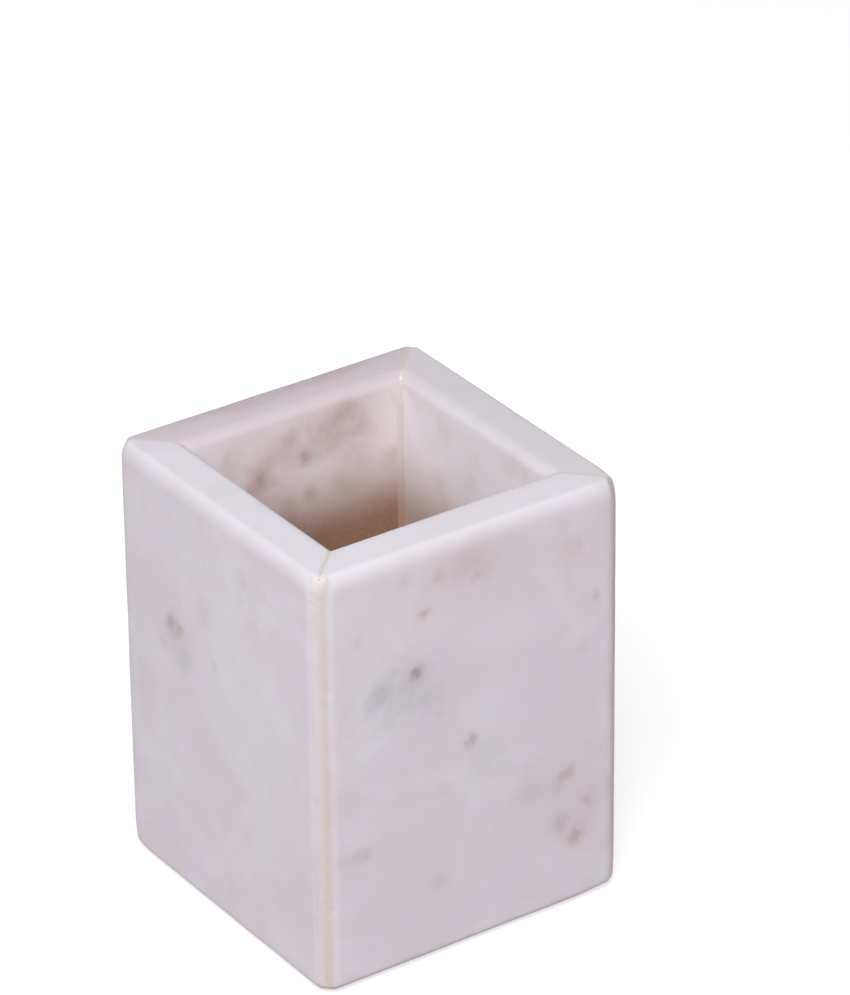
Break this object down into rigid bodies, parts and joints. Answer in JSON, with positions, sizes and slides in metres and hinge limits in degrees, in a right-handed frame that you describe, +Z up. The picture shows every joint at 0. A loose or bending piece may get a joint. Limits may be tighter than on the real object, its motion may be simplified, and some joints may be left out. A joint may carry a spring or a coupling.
{
  "type": "toothbrush holder",
  "caption": "Open-topped square tumbler of mitred marble slabs bonded with resin, standing on anti-slip pads, that holds toothbrushes upright.",
  "frame": {"origin": "on the surface that the pads stand on, under the middle of the base slab", "axes": "+Z up out of the open top, +X to the right and +Y to the rear, with the front wall's outside face towards -Y"},
  "size_m": [0.0776, 0.0776, 0.101],
  "materials": {
    "marble": "satin polished, pale lilac-white with tan and grey mottling",
    "resin": "cream bonding resin, ground flush and stained beside the stone",
    "pad": "matt grey anti-slip disc"
  },
  "bodies": {
    "root": {"front_wall": "marble", "right_wall": "marble", "rear_wall": "marble", "left_wall": "marble", "base_slab": "marble", "front_left_seam": "resin", "front_right_seam": "resin", "rear_right_seam": "resin", "rear_left_seam": "resin", "base_seam": "resin", "front_left_pad": "pad", "front_right_pad": "pad", "rear_right_pad": "pad", "rear_left_pad": "pad"}
  },
  "joints": []
}
